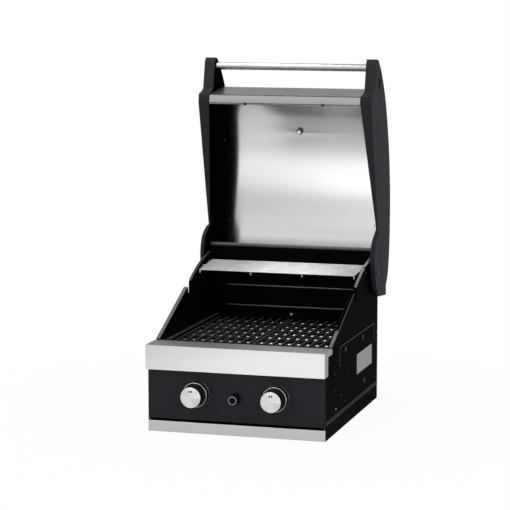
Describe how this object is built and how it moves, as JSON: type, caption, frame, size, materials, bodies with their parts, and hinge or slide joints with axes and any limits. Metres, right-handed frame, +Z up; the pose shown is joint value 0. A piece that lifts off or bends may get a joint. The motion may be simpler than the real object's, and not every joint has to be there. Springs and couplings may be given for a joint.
{
  "type": "built in gas grill",
  "caption": "Drop-in gas grill with knobs on a front panel, ribbed cooking grates over a firebox, a warming rack and a hinged domed lid that stands open.",
  "frame": {"origin": "middle of the base plate's underside, halfway across and halfway between the control panel's face and the rear panel", "axes": "+Z up, +Y from the control panel to the back, +X to the right seen from the front"},
  "size_m": [0.4616, 0.6749, 0.8571],
  "materials": {
    "black_enamel": "gloss",
    "black_casting": "satin, fine texture",
    "cast_iron": "glossy enamel",
    "stainless": "brushed",
    "liner_steel": "bright",
    "chrome": "polished",
    "galvanised": "matt",
    "black_plastic": "satin",
    "brass": "machined",
    "ceramic": "glazed, stands in for white ceramic",
    "rubber": "matt"
  },
  "bodies": {
    "body": {"side_panel_left": "black_enamel", "side_panel_right": "black_enamel", "inner_side_left": "black_enamel", "inner_side_right": "black_enamel", "rear_panel": "black_enamel", "control_panel": "black_enamel", "firebox_side_left": "black_enamel", "firebox_side_right": "black_enamel", "firebox_front_wall": "black_enamel", "firebox_rear_wall": "black_enamel", "firebox_floor": "black_enamel", "support_rail_front": "black_enamel", "support_rail_rear": "black_enamel", "cheek_left": "black_enamel", "cheek_right": "black_enamel", "front_bezel": "stainless", "burner_left": "stainless", "burner_right": "stainless", "igniter_barrel": "chrome", "pivot_pin_left": "chrome", "pivot_pin_right": "chrome", "base_plate": "galvanised", "tray_runner_left": "galvanised", "tray_runner_right": "galvanised", "gas_manifold": "galvanised", "knob_bezel_left": "black_plastic", "knob_bezel_right": "black_plastic", "valve_body_left": "brass", "valve_body_right": "brass", "spark_electrode_left": "ceramic", "spark_electrode_right": "ceramic"},
    "lid": {"lid_skin": "stainless", "lid_liner": "liner_steel", "lid_front_trim": "stainless", "lid_cap_left": "black_casting", "lid_cap_right": "black_casting", "lid_side_plate_left": "stainless", "lid_side_plate_right": "stainless", "lid_handle": "stainless", "thermometer_case": "chrome", "thermometer_nut": "galvanised", "lid_bumper_left": "rubber", "lid_bumper_right": "rubber"},
    "needle": {"thermometer_needle": "rubber"},
    "push_left": {"valve_collar_left": "brass"},
    "turn_left": {"knob_left": "black_plastic", "knob_face_left": "stainless", "valve_stem_left": "brass"},
    "push_right": {"valve_collar_right": "brass"},
    "turn_right": {"knob_right": "black_plastic", "knob_face_right": "stainless", "valve_stem_right": "brass"},
    "ignition": {"igniter_button": "black_plastic"},
    "tray": {"drip_tray": "galvanised", "tray_front": "stainless"},
    "left_grate": {"grate_left": "cast_iron"},
    "right_grate": {"grate_right": "cast_iron"},
    "left_tamer": {"flame_tamer_left": "stainless"},
    "right_tamer": {"flame_tamer_right": "stainless"},
    "rack": {"warming_rack": "chrome"}
  },
  "joints": [
    {"name": "lid_hinge", "type": "hinge", "parent": "body", "child": "lid", "pos_m": [0, 0.2015, 0.329], "axis": [1, 0, 0], "range_deg": [0, 98.9]},
    {"name": "needle_turn", "type": "hinge", "parent": "lid", "child": "needle", "pos_m": [0, 0.32913, 0.67601], "axis": [0, -0.9681, -0.2504], "range_deg": [0, 270], "stiffness_Nm_per_rad": 0.0005},
    {"name": "knob_push_left", "type": "slide", "parent": "body", "child": "push_left", "axis": [0, 1, 0], "range_m": [0, 0.003], "stiffness_N_per_m": 900},
    {"name": "knob_turn_left", "type": "hinge", "parent": "push_left", "child": "turn_left", "pos_m": [-0.0965, -0.2625, 0.0945], "axis": [0, -1, 0], "range_deg": [0, 180]},
    {"name": "knob_push_right", "type": "slide", "parent": "body", "child": "push_right", "axis": [0, 1, 0], "range_m": [0, 0.003], "stiffness_N_per_m": 900},
    {"name": "knob_turn_right", "type": "hinge", "parent": "push_right", "child": "turn_right", "pos_m": [0.0965, -0.2625, 0.0945], "axis": [0, -1, 0], "range_deg": [0, 180]},
    {"name": "igniter_press", "type": "slide", "parent": "body", "child": "ignition", "axis": [0, 1, 0], "range_m": [0, 0.005], "stiffness_N_per_m": 600},
    {"name": "tray_pull", "type": "slide", "parent": "body", "child": "tray", "axis": [0, -1, 0], "range_m": [0, 0.35]},
    {"name": "grate_lift_left", "type": "slide", "parent": "body", "child": "left_grate", "axis": [0, 0, 1], "range_m": [0, 0.06]},
    {"name": "grate_lift_right", "type": "slide", "parent": "body", "child": "right_grate", "axis": [0, 0, 1], "range_m": [0, 0.06]},
    {"name": "tamer_lift_left", "type": "slide", "parent": "body", "child": "left_tamer", "axis": [0, 0, 1], "range_m": [0, 0.012]},
    {"name": "tamer_lift_right", "type": "slide", "parent": "body", "child": "right_tamer", "axis": [0, 0, 1], "range_m": [0, 0.012]},
    {"name": "rack_lift", "type": "slide", "parent": "body", "child": "rack", "axis": [0, 0, 1], "range_m": [0, 0.04]}
  ]
}
